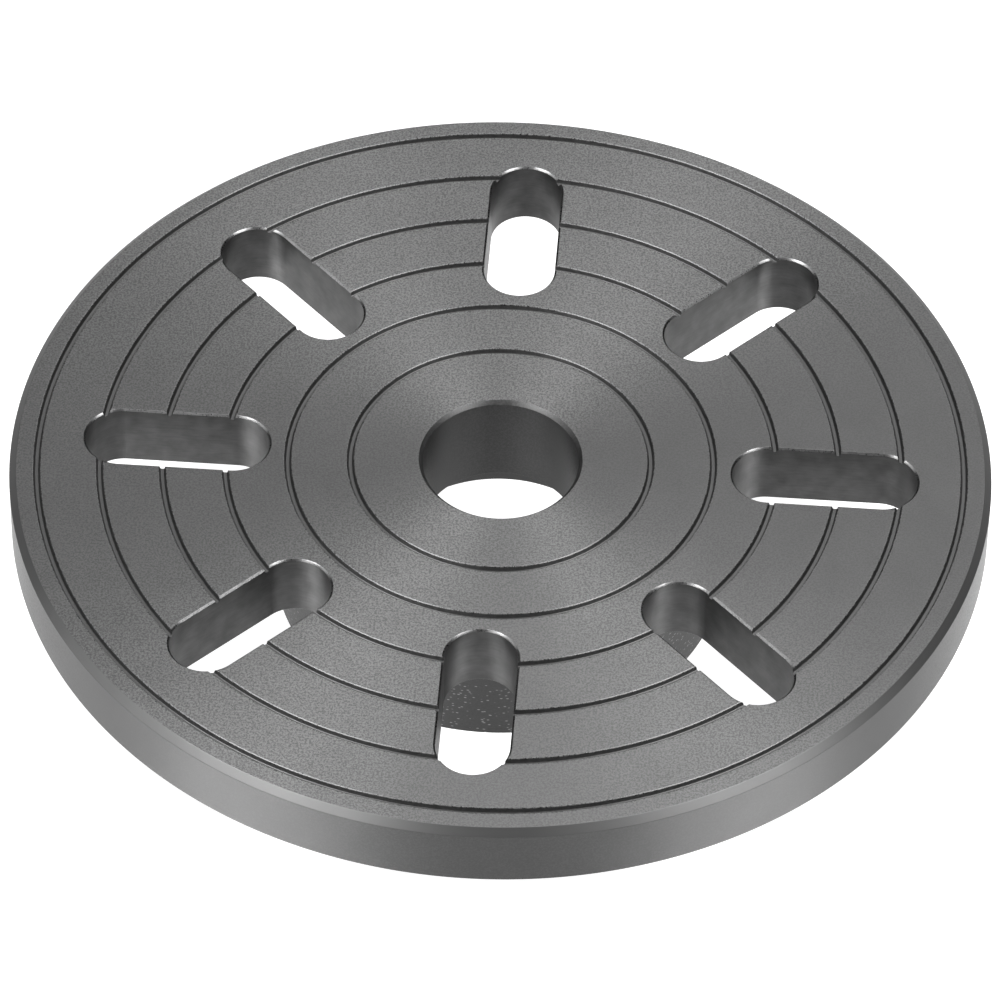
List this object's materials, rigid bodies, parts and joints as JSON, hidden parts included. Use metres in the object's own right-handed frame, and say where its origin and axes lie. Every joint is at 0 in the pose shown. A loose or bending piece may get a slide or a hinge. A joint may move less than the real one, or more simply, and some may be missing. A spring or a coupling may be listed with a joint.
{
  "type": "lathe faceplate",
  "caption": "Round slotted lathe faceplate with concentric grooves, a plain bore and a short rear hub with camlock studs.",
  "frame": {"origin": "on the axis of the bore, at the height of the three stud tips that the faceplate stands on", "axes": "+Z along the bore from the hub to the work face; +X along the middle of one radial slot"},
  "size_m": [0.254, 0.254, 0.0666],
  "materials": {
    "turned_iron": "grey iron, finish turned all over, with fine concentric tool marks",
    "ground_steel": "hardened and ground steel studs",
    "black_oxide": "black oxide alloy steel cap screws"
  },
  "bodies": {
    "root": {"faceplate": "turned_iron", "cam_stud_1": "ground_steel", "cam_stud_2": "ground_steel", "cam_stud_3": "ground_steel", "stud_lock_screw_1": "black_oxide", "stud_lock_screw_2": "black_oxide", "stud_lock_screw_3": "black_oxide"}
  },
  "joints": []
}
